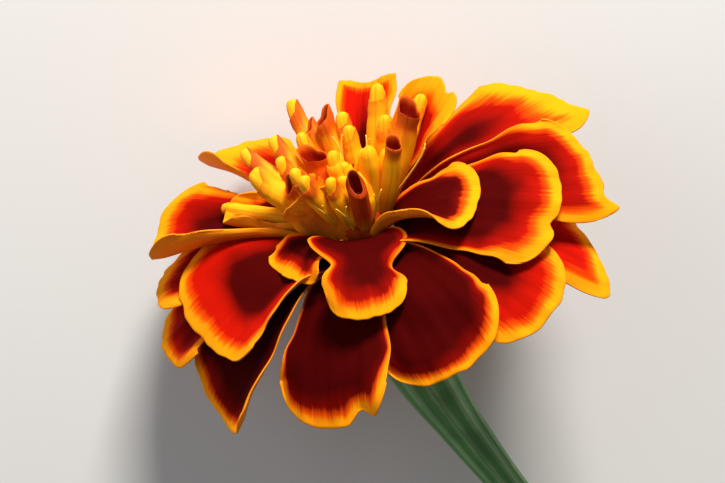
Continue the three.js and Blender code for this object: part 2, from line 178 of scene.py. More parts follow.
class Desk:
    """A material that is being written."""

    def __init__(self, name: str) -> None:
        """Starts an empty material.

        Args:
            name: its name.
        """
        self.material = bpy.data.materials.new(name)
        self.material.use_nodes = True
        self.tree = self.material.node_tree
        self.tree.nodes.clear()

    def node(self, kind: str, settings: dict[str, Any], inputs: dict[Any, Any],
             output: Any = 0) -> Shade:
        """Adds one node.

        Args:
            kind: its type.
            settings: its properties, set first.
            inputs: values or links by socket name or number.
            output: name or number of the wanted output.

        Returns:
            That output.
        """
        made = self.tree.nodes.new(kind)
        for key, value in settings.items():
            setattr(made, key, value)
        for key, value in inputs.items():
            if isinstance(value, Shade):
                self.tree.links.new(value.socket, made.inputs[key])
            else:
                wide = isinstance(value, tuple) and made.inputs[key].type == "RGBA"
                made.inputs[key].default_value = (*value, 1.0) if wide else value
        return Shade(self, None if output is None else made.outputs[output])

    def sum_of(self, operation: str, a: Shade | float, b: Shade | float) -> Shade:
        """Returns a Math node's result."""
        return self.node("ShaderNodeMath", {"operation": operation}, {0: a, 1: b})

    def measures(self, *names: str) -> list[Shade]:
        """Returns named measures that the mesh carries."""
        return [self.node("ShaderNodeAttribute", {"attribute_name": name}, {}, "Fac") for name in names]

    def point(self, x: Shade | float, y: Shade | float, z: Shade | float) -> Shade:
        """Returns three values as one vector."""
        return self.node("ShaderNodeCombineXYZ", {}, {0: x, 1: y, 2: z})

    def grain(self, x: Shade, y: Shade, z: Shade | float, detail: float = 2.0) -> Shade:
        """Returns noise from 0 to 1 at three coordinates."""
        return self.node("ShaderNodeTexNoise", {}, {"Vector": self.point(x, y, z), "Scale": 1.0,
                                                    "Detail": detail})

    def step(self, value: Shade, low: float, high: float) -> Shade:
        """Returns a smooth step from 0 at low to 1 at high."""
        return self.node("ShaderNodeMapRange", {"interpolation_type": "SMOOTHSTEP"},
                         {"Value": value, "From Min": low, "From Max": high})

    def mix(self, share: Shade | float, a: Shade | Colour, b: Shade | Colour) -> Shade:
        """Returns colour a turned into colour b by a share."""
        return self.node("ShaderNodeMix", {"data_type": "RGBA"}, {0: share, 6: a, 7: b}, 2)

    def relief(self, height: Shade, depth: float) -> Shade:
        """Returns a normal raised by a height, with its depth in metres."""
        return self.node("ShaderNodeBump", {}, {"Height": height, "Distance": depth, "Strength": 1.0})

    def finish(self, inputs: dict[str, Any]) -> bpy.types.Material:
        """Ends the material with a Principled shader.

        Args:
            inputs: its sockets by name.

        Returns:
            The material.
        """
        end = self.node("ShaderNodeBsdfPrincipled", {}, inputs)
        self.node("ShaderNodeOutputMaterial", {}, {"Surface": end}, None)
        return self.material


# ---- finishes ----
@dataclass(frozen=True)
class Finish:
    """What finishes share: roughness, how much they mirror and their relief's depth in metres."""

    roughness: float = 0.5
    mirror: float = 0.5
    depth: float = 0.0001

    def dressed(self, desk: Desk, colour: Shade, uneven: Shade, height: Shade) -> bpy.types.Material:
        """Returns a desk's material, ended with a colour, added roughness and a relief's height."""
        return desk.finish({
            "Base Color": colour, "Roughness": self.roughness + uneven,
            "Specular IOR Level": self.mirror, "Normal": desk.relief(height, self.depth),
        })


@dataclass(frozen=True)
class VelvetFace(Finish):
    """The upper face of a ray petal: velvety red, darker towards its middle partly by painted shade, in
    a golden margin that runs in as short streaks.
    """

    roughness: float = 0.74
    mirror: float = 0.03
    depth: float = 0.00006
    # heart is the dark maroon of the middle: partly the petal's own colour, partly painted shade
    heart: Colour = (0.056, 0.0003, 0.0002)
    red: Colour = (0.5, 0.0055, 0.0006)
    ember: Colour = (0.76, 0.07, 0.0008)
    amber: Colour = (0.84, 0.2, 0.003)
    gold: Colour = (0.96, 0.315, 0.003)
    streaks: float = 22.0
    jag: float = 0.5
    ribs: float = 34.0
    heart_step: Pair = (-0.75, 0.55)
    red_step: Pair = (0.9, 1.75)
    ember_step: Pair = (0.5, 1.15)

    def material(self) -> bpy.types.Material:
        """Writes the shader.

        Returns:
            The material.
        """
        desk = Desk("velvet_face")
        along, across, inset, tone, flush = desk.measures("along", "across", "inset", "tone", "flush")
        streaky = desk.grain(across * self.streaks, along * 2.2, tone * 9, 3.0)
        cloudy = desk.grain(across * 2.2, along * 3.0, tone * 5)
        veins = desk.grain(across * self.ribs, along * 3.5, tone * 4, 1.0)
        pile = desk.grain(across * 27, along * 27, tone * 3, 3.0)
        reach = inset + (streaky - 0.5) * (2 * self.jag)
        # Darker towards the petal's middle: partly its own darker heart, partly painted shade. Each
        # petal's set brightness is painted light, lifting lit petals and darkening shaded ones; the
        # cloudy noise is random tone.
        heart_and_painted_shade = desk.step(reach * 0.16 - flush + (cloudy - 0.5) * 0.6, *self.heart_step)
        red = desk.mix(heart_and_painted_shade, self.red, self.heart)
        red = desk.mix(desk.step(veins, 0.35, 0.75) * 0.07, red, self.heart)
        warm = desk.mix(desk.step(reach, *self.red_step), self.ember, red)
        gold = desk.mix(desk.step(along + (cloudy - 0.5) * 0.7, 0.5, 1.02), self.amber, self.gold)
        colour = desk.mix(desk.step(reach, *self.ember_step), gold, warm)
        return self.dressed(desk, colour, cloudy * 0.16, veins * 0.6 + pile * 0.4)


@dataclass(frozen=True)
class UnderFace(Finish):
    """The back of a ray petal and its rim: golden orange, flushed with rust towards the claw."""

    roughness: float = 0.62
    mirror: float = 0.15
    depth: float = 0.00008
    rust: Colour = (0.4, 0.07, 0.004)
    orange: Colour = (0.8, 0.21, 0.004)
    gold: Colour = (0.94, 0.28, 0.004)

    def material(self) -> bpy.types.Material:
        """Writes the shader.

        Returns:
            The material.
        """
        desk = Desk("under_face")
        along, across, inset, tone = desk.measures("along", "across", "inset", "tone")
        cloudy = desk.grain(across * 2.5, along * 4.0, tone * 7, 3.0)
        veins = desk.grain(across * 30, along * 2.5, tone * 3, 1.0)
        middle = desk.step(inset + (cloudy - 0.5) * 2.4, 0.8, 3.2)
        colour = desk.mix(middle, self.gold, self.orange)
        colour = desk.mix(desk.step(cloudy + middle * 0.35, 0.62, 0.92) * 0.5, colour, self.rust)
        colour = desk.mix(desk.step(veins, 0.5, 0.8) * 0.22, colour, self.rust)
        return self.dressed(desk, colour, cloudy * 0.12, veins)


@dataclass(frozen=True)
class FloretFinish(Finish):
    """A rolled floret: golden outside, olive at its foot with painted shade, orange at its lip and red
    within its mouth.
    """

    mirror: float = 0.1
    olive_and_painted_shade: Colour = (0.5, 0.19, 0.004)
    gold: Colour = (1.0, 0.42, 0.004)
    orange: Colour = (0.62, 0.085, 0.002)
    throat: Colour = (0.3, 0.008, 0.0006)
    flush_step: Pair = (0.8, 1.12)
    throat_step: Pair = (0.55, 0.9)

    def material(self) -> bpy.types.Material:
        """Writes the shader.

        Returns:
            The material.
        """
        desk = Desk("rolled_floret")
        along, around, inside, tone = desk.measures("along", "around", "inside", "tone")
        streaky = desk.grain(around * 9, along * 2.0, tone * 11)
        cloudy = desk.grain(around * 1.5, along * 3.0, tone * 5)
        # Olive at the foot, gold above: partly the floret's own greener foot, partly painted shade among
        # the crowded florets.
        skin = desk.mix(desk.step(along + (cloudy - 0.5) * 0.4, 0.1, 0.6), self.olive_and_painted_shade, self.gold)
        flush = desk.step(along + (streaky - 0.5) * 0.3 + tone * 0.8, *self.flush_step)
        skin = desk.mix(flush, skin, desk.mix(desk.step(tone, 0.7, 1.1), self.orange, self.throat))
        skin = desk.mix(desk.step(streaky, 0.5, 0.8) * 0.3, skin, self.orange)
        sunken = desk.step(inside + (streaky - 0.5) * 0.3, *self.throat_step)
        mouth = desk.mix(sunken, self.orange, self.throat)
        colour = desk.mix(desk.step(inside, 0.1, 0.6), skin, mouth)
        return self.dressed(desk, colour, cloudy * 0.15, streaky)


@dataclass(frozen=True)
class StyleFinish(Finish):
    """The thin forked styles between the florets."""

    roughness: float = 0.4
    depth: float = 0.00005
    base: Colour = (0.7, 0.32, 0.02)
    tip: Colour = (0.95, 0.55, 0.03)

    def material(self) -> bpy.types.Material:
        """Writes the shader.

        Returns:
            The material.
        """
        desk = Desk("style_thread")
        along = desk.measures("along")[0]
        speck = desk.grain(along * 40, 0.0, 0.0)
        return self.dressed(desk, desk.mix(along, self.base, self.tip), speck * 0.3, speck)


@dataclass(frozen=True)
class StalkFinish(Finish):
    """The ribbed green cup of joined bracts and the stalk, with paler stripes on its ribs that are
    painted highlight, and fine oil glands.
    """

    roughness: float = 0.42
    mirror: float = 0.4
    depth: float = 0.00012
    shade: Colour = (0.035, 0.115, 0.022)
    green: Colour = (0.095, 0.29, 0.07)
    # pale is painted highlight along the ribs
    pale: Colour = (0.34, 0.56, 0.26)
    gland: Colour = (0.03, 0.055, 0.012)

    def material(self) -> bpy.types.Material:
        """Writes the shader.

        Returns:
            The material.
        """
        desk = Desk("stalk_skin")
        along, rib, around, gland = desk.measures("along", "rib", "around", "gland")
        fine = desk.grain(around * 38, along * 1.6, 0.0)
        cloudy = desk.grain(around * 3, along * 1.4, 2.0)
        # Paler on the ribs: painted highlight along each rib.
        colour = desk.mix(desk.step(rib + (fine - 0.5) * 0.5, 0.25, 0.95) * 0.6, self.green, self.pale)
        colour = desk.mix(desk.step(cloudy, 0.35, 0.7) * 0.5, colour, self.shade)
        cells = desk.node("ShaderNodeTexVoronoi", {"feature": "F1"},
                          {"Vector": desk.point(around * 20, along * 30, 0.0), "Scale": 1.0}, "Distance")
        spot = (1 - desk.step(cells, 0.1, 0.2)) * gland
        colour = desk.mix(spot * 0.75, colour, self.gland)
        return self.dressed(desk, colour, cloudy * 0.15, fine - spot * 0.6)


@dataclass(frozen=True)
class FloorFinish(Finish):
    """The plain pale table."""

    roughness: float = 0.85
    mirror: float = 0.2
    colour: Colour = (0.74, 0.73, 0.71)

    def material(self) -> bpy.types.Material:
        """Returns the material."""
        return Desk("pale_table").finish({
            "Base Color": self.colour, "Roughness": self.roughness, "Specular IOR Level": self.mirror,
        })


# ---- meshes ----
@dataclass
class Shell:
    """A closed mesh with the measures that its finish reads."""

    points: Array
    faces: list[tuple[int, ...]]
    measures: dict[str, Array]
    slots: list[int] = field(default_factory=list)

    @staticmethod
    def joined(shells: list["Shell"]) -> "Shell":
        """Puts several shells into one.

        Args:
            shells: the shells, which carry the same measures.

        Returns:
            One shell that holds them all.
        """
        faces: list[tuple[int, ...]] = []
        start = 0
        for shell in shells:
            faces += [tuple(start + corner for corner in face) for face in shell.faces]
            start += len(shell.points)
        names = shells[0].measures
        return Shell(np.concatenate([s.points for s in shells]), faces,
                     {name: np.concatenate([s.measures[name] for s in shells]) for name in names})

    def piece(self, name: str, lie: Lie, materials: list[bpy.types.Material]) -> bpy.types.Object:
        """Makes the Blender object.

        Args:
            name: its name.
            lie: how the flower lies.
            materials: its materials, in the order of the slots.

        Returns:
            The object, which rides on the flower's one body.
        """
        mesh = bpy.data.meshes.new(name)
        mesh.from_pydata(lie.on_table(self.points).tolist(), [], self.faces)
        for material in materials:
            mesh.materials.append(material)
        mesh.polygons.foreach_set("use_smooth", [True] * len(mesh.polygons))
        if self.slots:
            mesh.polygons.foreach_set("material_index", self.slots)
        for key, values in self.measures.items():
            layer = mesh.attributes.new(key, "FLOAT", "POINT")
            layer.data.foreach_set("value", np.asarray(values, np.float32))
        mesh.update()
        made = bpy.data.objects.new(name, mesh)
        bpy.context.scene.collection.objects.link(made)
        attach(made, "root")
        log.info("%s: %d faces", name, len(mesh.polygons))
        return made


def swept(rings: list[Array], measures: list[dict[str, Any]]) -> Shell:
    """Sweeps a closed skin through rings of points.

    Args:
        rings: the rings, all with as many points.
        measures: for each ring, the measures there, as numbers or one value a point.

    Returns:
        The shell, closed at both ends on the ring's middle.
    """
    sides = len(rings[0])
    count = len(rings) * sides
    points = np.concatenate([*rings, rings[0].mean(0)[None], rings[-1].mean(0)[None]])
    side = np.arange(sides)
    after = (side + 1) % sides
    faces: list[tuple[int, ...]] = []
    for ring in range(len(rings) - 1):
        a = ring * sides
        faces += [(a + i, a + j, a + sides + j, a + sides + i) for i, j in zip(side, after)]
    top = count - sides
    faces += [(count, j, i) for i, j in zip(side, after)]
    faces += [(count + 1, top + i, top + j) for i, j in zip(side, after)]
    out = {}
    for key in measures[0]:
        rows = [np.broadcast_to(np.asarray(m[key], float), (sides,)) for m in measures]
        out[key] = np.concatenate([*rows, [rows[0].mean()], [rows[-1].mean()]])
    return Shell(points, faces, out)


# ---- ray petals ----
class Whorl(Enum):
    """The three whorls of ray petals: radius and height of their seats."""

    LOWER = (5.0, -2.0)
    MIDDLE = (4.2, -0.6)
    INNER = (3.4, 0.8)


@dataclass(frozen=True)
class Petal:
    """One ray petal.

    root is the azimuth of its seat, and tip the azimuth, radius and height of its end. rise and droop
    are the angles over the horizontal at which the midrib leaves the seat and reaches the tip. curl is
    how far the left and right margins turn up, halfway and at the tip, and lean how far the blade turns
    about its midrib there. claw is the width at the seat, and channel how far the margins stand up
    there. flare is how late it widens, and fold how near the margin it bends. wave is height, number
    and phase, and waist how much narrower it is and where. A notch has a place across, a depth, below 0
    for a point, and a width. trim is the golden margin's width. The last field sets how bright the red
    is, which is painted light: high for a petal painted as lit, low for one painted as in shade.
    """

    root: float
    tip: Triple
    rise: float
    droop: float
    half: float
    curl: tuple[float, float, float, float]
    lean: Pair = (0.0, 0.0)
    claw: float = 0.13
    neck: float = 0.0
    flare: float = 1.2
    fold: float = 1.4
    round_end: float = 0.26
    skew: float = 0.0
    wave: Triple = (0.5, 1.5, 0.0)
    waist: Pair = (0.0, 0.5)
    notches: tuple[Triple, ...] = ()
    channel: float = 75.0
    trim: float = 1.5
    ruffle: float = 1.0
    # painted light: how bright the red is painted, high for a petal lying in the light, low for one in
    # shade
    flush: float = 0.5


# Each row gives root, tip, rise, droop, half and curl, then what is unlike the usual petal.
# The brightness of each petal's red in these rows is painted light: high where it lies lit, low where
# shaded.
PETALS: dict[Whorl, tuple[Petal, ...]] = {
    Whorl.LOWER: (
        Petal(-26, (-31, 20.6, -13.4), 22, -62, 7.6, (-15, -15, -15, 35), claw=0.45, flare=0.75,
              notches=((0.45, 1.6, 0.2),), trim=1.15, flush=0.05),
        Petal(-60, (-79, 24.6, -12.8), 30, -50, 8.8, (-15, 30, -15, 60), lean=(-8, -25), skew=0.1,
              claw=0.2, flare=1, trim=1.1, flush=0.2),
        Petal(8, (15, 21.0, -10.2), 28, -48, 7.9, (-30, -10, -30, -10), lean=(20, 18), round_end=0.34,
              claw=0.45, flare=0.8, trim=1.0, flush=0.15),
        Petal(40, (46, 24.3, -9.2), 36, -40, 6.8, (-5, -10, -10, -10), lean=(24, 24), claw=0.14,
              flare=1, channel=25, flush=0.85),
        Petal(72, (72, 26.6, -7.6), 40, -40, 6.4, (-5, -10, -30, -10), lean=(12, 12), skew=-0.22,
              round_end=0.12, flush=0.85),
        Petal(116, (124, 25.4, -3.6), 40, -20, 7, (0, 0, -10, -10), flare=1.5),
        Petal(146, (150, 25.8, -2.4), 40, -15, 6, (0, 0, -10, -10), flare=1.8),
        Petal(178, (180, 22.6, -2.8), 40, -15, 6, (0, 0, -10, -10), flare=1.8),
        Petal(-154, (-151, 25.4, -2.6), 40, -15, 6, (0, 0, -10, -10), flare=1.8),
        Petal(-134, (-127, 28, 2), 34, 0, 5.4, (10, 0, 20, 0)),
        Petal(-106, (-108, 27.8, -2), 35, -15, 5.4, (0, 0, 0, 0), lean=(-10, -14)),
        Petal(-84, (-100, 28.4, -8), 34, -35, 6.4, (-20, 10, -20, 10), lean=(-6, -22)),
    ),
    Whorl.MIDDLE: (
        Petal(-74, (-84, 23, -3.2), 29, -28, 9.6, (-25, 60, -25, 30), lean=(-26, -30), round_end=0.3,
              claw=0.5, flare=0.8, channel=15, trim=1.9, flush=1.0),
        Petal(62, (68, 24.8, -0.2), 55, -12, 7.6, (-12, -10, -5, -15), lean=(24, 34), claw=0.6,
              flare=1.3, channel=40, notches=((-0.3, 0.9, 0.1),), ruffle=0.6),
        Petal(100, (80, 29.1, 1.0), 38, -6, 6.7, (0, 100, 0, -25), lean=(38, 38), claw=0.25, flare=1.4,
              fold=2.2, round_end=0.16, skew=-0.08, notches=((-0.85, -1.9, 0.16),), trim=1.3),
        Petal(124, (106, 28.2, 5.8), 42, 8, 7.2, (0, 10, 10, -30), lean=(20, 20), flare=1.6,
              round_end=0.15, skew=-0.1, notches=((-0.85, -1.2, 0.17),), trim=2.6),
        Petal(146, (142, 22, 3), 50, 0, 6.4, (10, 10, 0, 0), lean=(10, 12), flare=1.5),
        Petal(-176, (-176, 21, 3.2), 50, 0, 5.4, (10, 10, 0, 0), lean=(10, 12), flare=1.8),
        Petal(-146, (-146, 24.5, 7.4), 46, 8, 6.6, (10, 85, 10, 110), lean=(2, 2), trim=4.2),
        Petal(-114, (-115, 27.2, 3.2), 34, -4, 7.4, (-10, 120, -10, 120), lean=(-22, -28), fold=1.1,
              trim=2.0),
    ),
    Whorl.INNER: (
        Petal(-10, (-8, 15.7, -2), 58, -42, 4.9, (10, 10, -30, -30), lean=(-24, -14),
              wave=(1.0, 1.5, 0), waist=(0.32, 0.5), claw=1.3, neck=0.5, flare=1, channel=45,
              ruffle=0.4, flush=0.35),
        Petal(-62, (-66, 11.6, 1.4), 60, -25, 5.4, (20, 10, 0, 0), lean=(0, -6), wave=(0.8, 1.5, 0.3),
              claw=0.4, neck=0.4, ruffle=0.4, flush=0.3),
        Petal(50, (63, 15.7, 3.1), 52, -6, 6, (100, 30, 20, 10), lean=(10, 10), claw=0.45, ruffle=0.25,
              flush=0.05),
        Petal(122, (111, 17, 13), 65, 40, 4.5, (10, 105, 0, 115), claw=0.28, channel=25,
              notches=((-0.3, 1.2, 0.25),), trim=2.6, ruffle=0.4),
        Petal(160, (153, 15.5, 13.4), 65, 50, 3.8, (15, 15, 10, 10), round_end=0.0,
              notches=((0, 0.7, 0.5),), trim=0.9, ruffle=0.15, flush=0.9),
        Petal(-116, (-117, 16.8, 5.4), 22, 20, 3.6, (50, 150, 50, 160), lean=(-35, -40), fold=1,
              claw=0.5, channel=30, trim=1.5, ruffle=0.1, flush=0.1),
        Petal(-58, (-58, 6.1, 9.7), 76, 66, 4.1, (12, 12, 5, 5), lean=(45, 48), claw=0.6, flare=0.9,
              channel=30, ruffle=0.2),
    ),
}


@dataclass
class RayPetals:
    """The ray petals, each a thin velvety blade with furrows and a finely scalloped margin."""

    lie: Lie
    petals: dict[Whorl, tuple[Petal, ...]]
    upper: VelvetFace = VelvetFace()
    under: UnderFace = UnderFace()
    thick_middle: float = 0.44
    thick_margin: float = 0.2
    thinning: float = 1.6
    rows: int = 64
    columns: int = 52
    samples: int = 201
    handle: float = 0.38
    roundness: float = 2.3
    rib: float = 0.1
    furrow: float = 0.05
    furrow_pace: float = 21.0
    undulation: float = 0.26
    ruffle: float = 0.15
    scallop: float = 0.2
    jitter: float = 0.16
    side_trim: float = 0.24
    uneven_trim: float = 0.22
    bend_steps: int = 14
    curl_start: float = 0.35
    neck_length: float = 0.25
    waist_length: float = 0.13
    left_phase: float = 1.7
    slot: str = "ray_petals"

    def blade(self, petal: Petal, seat: Pair, seed: float) -> tuple[Array, Array, Array]:
        """Lays out the middle sheet of a petal.

        Args:
            petal: its sizes.
            seat: radius and height of its seat.
            seed: which of the small irregularities it gets.

        Returns:
            The grid of points, and along and side for each.
        """
        start = cylindrical(petal.root, *seat)
        end = cylindrical(*petal.tip)
        reach = np.linalg.norm(end - start) * self.handle
        corners = [start, start + heading(petal.root, petal.rise) * reach,
                   end - heading(petal.tip[0], petal.droop) * reach, end]
        fine = np.linspace(0, 1, self.samples)
        walk = bezier(corners, fine)[0]
        arc = np.concatenate([[0], np.cumsum(np.linalg.norm(np.diff(walk, axis=0), axis=1))])
        length = arc[-1]

        along, column = np.meshgrid(np.linspace(0, 1, self.rows + 1),
                                    np.linspace(-1, 1, self.columns + 1), indexing="ij")
        side = np.sin(column * math.pi / 2)
        across = np.abs(side)
        left = side < 0

        # rounded, notched and finely scalloped outline
        arch = (1 - across ** self.roundness).clip(0) ** (1 / self.roundness)
        rounded = 1 - petal.round_end * (1 - arch)
        place = along * (1 - along ** 3 * (1 - rounded)) + petal.skew * side * along ** 4
        for middle, depth, spread in petal.notches:
            place = place - depth / length * np.exp(-((side - middle) / spread) ** 2) * along ** 10
        scallops = np.abs(np.sin(side * 5.2 + seed * 2)) + 0.6 * swell(side * 14, 0 * side, seed)
        place = place - self.scallop * petal.ruffle / length * scallops * along ** 12 * (1 - across ** 8)
        opening = np.sin(np.clip((along - 0.08) / 0.92, 0, 1) * math.pi / 2) ** petal.flare
        waist = 1 - petal.waist[0] * np.exp(-((along - petal.waist[1]) / self.waist_length) ** 2)
        half = petal.half * (petal.claw + (1 - petal.claw) * opening) * waist
        half = half * (1 - petal.neck * (1 - ease(along / self.neck_length)))
        restless = ease((along - 0.3) / 0.3) * self.jitter
        half = half + across ** 6 * restless * swell(along * 19, side, seed + 3)

        # frame that travels along the midrib and leans about it
        on_rib = np.clip(place, 0, 1)
        origin, lengthwise = bezier(corners, np.interp(on_rib * length, arc, fine))
        origin = origin + lengthwise * ((place - on_rib) * length)[..., None]
        turn = (petal.tip[0] - petal.root + 180) % 360 - 180
        crosswise = cylindrical(petal.root + turn * place + 90, 1.0, 0.0)
        crosswise = unit(crosswise - (crosswise * lengthwise).sum(-1, keepdims=True) * lengthwise)
        outward = np.cross(lengthwise, crosswise)
        lean = np.radians(petal.lean[0] * np.sin(np.clip(place / 0.6, 0, 1) * math.pi / 2)
                          + (petal.lean[1] - petal.lean[0]) * ease((place - 0.45) / 0.55))[..., None]
        widthwise = crosswise * np.cos(lean) + outward * np.sin(lean)
        upwards = outward * np.cos(lean) - crosswise * np.sin(lean)

        # margins: channel at the claw, then the curl
        to_tip = ease((place - 0.35) / 0.6)
        left_half, right_half, left_tip, right_tip = petal.curl
        curl = np.where(left, left_half + (left_tip - left_half) * to_tip,
                        right_half + (right_tip - right_half) * to_tip)
        curl = curl * ease(place / 0.3) + petal.channel * (1 - ease(place / self.curl_start))
        flat, lift = np.zeros_like(side), np.zeros_like(side)
        for step in range(self.bend_steps):
            angle = np.radians(curl) * ((step + 0.5) / self.bend_steps * across) ** petal.fold
            flat += np.cos(angle) * across / self.bend_steps
            lift += np.sin(angle) * across / self.bend_steps
        height, turns, phase = petal.wave
        spread = ease((along - 0.25) / 0.4)
        wave = height * across ** 2.5 * spread * np.sin(
            2 * math.pi * (turns * place + phase) + np.where(left, self.left_phase, 0.0))
        wave = wave + self.rib * np.cos(9 * side) * ease((along - 0.2) / 0.4) * (1 - across ** 4)
        wave = wave + self.fine_relief(petal, along, side, length, seed)

        points = (origin + widthwise * (flat * half * np.sign(side))[..., None]
                  + upwards * (lift * half + wave)[..., None])
        return points, along, side

    def fine_relief(self, petal: Petal, along: Array, side: Array, length: float,
                    seed: float) -> Array:
        """Gives the furrows, the gentle undulation and the ruffled margin.

        Args:
            petal: its sizes.
            along: 0 at the claw to 1 at the tip.
            side: -1 at the left margin to 1 at the right.
            length: of the midrib.
            seed: which of the irregularities.

        Returns:
            Height over the middle sheet.
        """
        grown = ease((along - 0.15) / 0.35)
        wander = 1.5 * swell(along * 3, side, seed)
        furrows = self.furrow * np.cos(side * self.furrow_pace + wander) * grown
        broad = swell(side * petal.half * 0.55, along * length * 0.45, seed + 1)
        broad = self.undulation * broad * grown
        edge = np.maximum(np.abs(side) ** 5 * ease((along - 0.3) / 0.3), along ** 9)
        rim = np.arctan2(side, (along - 0.45) * 2.2)
        ruffles = np.sin(rim * 6 + 2 * swell(rim * 3, along, seed)) + 0.4 * np.sin(rim * 13 + seed * 5)
        return furrows + broad + self.ruffle * petal.ruffle * edge * ruffles

    def shell(self, petal: Petal, seat: Pair, seed: float) -> Shell:
        """Makes the closed blade.

        Args:
            petal: its sizes.
            seat: radius and height of its seat.
            seed: which of the small irregularities it gets.

        Returns:
            The shell: slot 0 is the upper face, slot 1 the underside and the rim.
        """
        sheet, along, side = self.blade(petal, seat, seed)
        normal = unit(np.cross(np.gradient(sheet, axis=0), np.gradient(sheet, axis=1)))
        rim_rows = np.concatenate([sheet[:, 0], sheet[-1, 1:-1], sheet[:, -1]])
        inset = np.linalg.norm(sheet.reshape(-1, 1, 3) - rim_rows[None], axis=2).min(1)
        inset = inset.reshape(side.shape)
        thicker = (self.thick_middle - self.thick_margin) * ease(inset / self.thinning)
        thick = self.thick_margin + thicker
        trim = petal.trim * (self.side_trim + (1 - self.side_trim) * ease((along - 0.55) / 0.35))
        trim = trim * (1 + self.uneven_trim * swell(side * 4, along * 5, seed + 5))
        trim = trim * (0.3 + 0.7 * ease(along / 0.4))
        half = normal * (thick / 2)[..., None]

        pitch = self.columns + 1
        ids = np.arange((self.rows + 1) * pitch).reshape(-1, pitch)
        border = np.concatenate([ids[:-1, 0], ids[-1, :-1], ids[:0:-1, -1], ids[0, :0:-1]])
        flat_sheet = sheet.reshape(-1, 3)
        inner = np.concatenate([ids[:-1, 1], ids[-2, :-1], ids[:0:-1, -2], ids[1, :0:-1]])
        out = unit(flat_sheet[border] - flat_sheet[inner])
        ring = flat_sheet[border] + out * (thick.reshape(-1)[border] * 0.45)[:, None]

        count = ids.size
        quads = np.stack([ids[:-1, :-1], ids[1:, :-1], ids[1:, 1:], ids[:-1, 1:]], -1).reshape(-1, 4)
        mid = 2 * count + np.arange(len(border))
        mid_next, border_next = np.roll(mid, -1), np.roll(border, -1)
        corners = np.concatenate([
            quads, quads[:, ::-1] + count, np.stack([border, mid, mid_next, border_next], -1),
            np.stack([mid, border + count, border_next + count, mid_next], -1)])
        faces = [tuple(face) for face in corners.tolist()]
        slots = [0] * len(quads) + [1] * (len(faces) - len(quads))

        share = (inset / trim).reshape(-1)
        measures = {"along": along.reshape(-1), "across": side.reshape(-1), "inset": share}
        measures = {key: np.concatenate([v, v, v[border]]) for key, v in measures.items()}
        measures["tone"] = np.full(2 * count + len(border), math.sin(seed * 7.3))
        # painted light: each petal's brightness of red, standing in for the light and shade on it
        measures["flush"] = np.full(2 * count + len(border), petal.flush)
        points = np.concatenate([(sheet + half).reshape(-1, 3), (sheet - half).reshape(-1, 3), ring])
        return Shell(points, faces, measures, slots)

    def build(self) -> None:
        """Makes and dresses every ray petal."""
        materials = [self.upper.material(), self.under.material()]
        seed = 0.0
        for whorl, petals in self.petals.items():
            for number, petal in enumerate(petals, 1):
                seed += 1
                name = f"{whorl.name.lower()}_petal_{number:02}"
                piece = self.shell(petal, whorl.value, seed).piece(f"{name}_blade", self.lie, materials)
                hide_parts(name)


# ---- disc florets ----
@dataclass(frozen=True)
class Quill:
    """A floret rolled into a quill.

    azimuth, radius and height are the place of its mouth, and mouth is its radius. facing is where its
    longer lip points and slant by how much it is longer. tone is how red it is, gape how wide it opens,
    and knob how far a rounded bud stands out between its lips. A bud has no lips yet.
    """

    azimuth: float
    radius: float
    height: float
    mouth: float
    facing: float = 0.0
    slant: float = 0.6
    tone: float = 0.0
    gape: float = 0.75
    knob: float = 0.0
    bud: bool = False


# Each row gives azimuth, radius, height, mouth, facing, slant, tone, gape and knob.
TALL_QUILLS: tuple[Quill, ...] = tuple(Quill(*row) for row in (
    (-166, 11.6, 13.8, 1.2, 110, 1.0, 0.2, 0.6, 1.3), (177, 6.6, 14, 1.25, 120, 1.0, 0.25, 0.6),
    (130, 9.5, 14.2, 1.4, 150, 0.6, 0.0, 0.5, 1.5), (92, 10.3, 14, 1.65, 210, 0.8, 0.3, 0.9),
    (68, 7.6, 12, 1.25, 190, 0.4, 0.15, 0.8), (142, 4, 12, 1.2, 120, 0.7, 0.0, 0.5, 1.2),
    (-134, 13.8, 10.6, 1.2, 130, 1.0, 0.2, 0.6, 1.2), (-142, 10.2, 11.6, 1.2, 120, 0.9, 0.2, 0.6, 1.2),
    (-128, 3.1, 12, 1.7, 240, 0.9, 0.5, 0.9), (-110, 10.2, 10.4, 1.65, 120, 0.9, 0.0, 0.5, 1.2),
    (13, 5.4, 10, 1.35, 190, 1.2, 0.92, 0.2), (-22, 4.3, 10, 1.15, 130, 0.7, 0.15, 0.5, 1.0),
    (-92, 6.4, 10, 1.2, 130, 0.8, 0.2, 0.5), (112, 12.6, 12, 1.3, 160, 0.7, 0.0, 0.5, 1.2),
    (160, 6.6, 12.6, 1.2, 140, 0.7, 0.1, 0.6, 1.1), (-168, 8.4, 12.4, 1.15, 120, 0.9, 0.15, 0.5),
    (-152, 6.4, 12, 1.2, 140, 0.7, 0.0, 0.5, 1.2), (108, 7.2, 12.2, 1.2, 150, 0.7, 0.05, 0.5, 1.1),
    (-122, 7.4, 10.8, 1.2, 130, 0.8, 0.15, 0.5, 1.1), (-121, 17.2, 5.6, 1.15, 200, 0.3, -0.1, 0.3, 0.5),
))


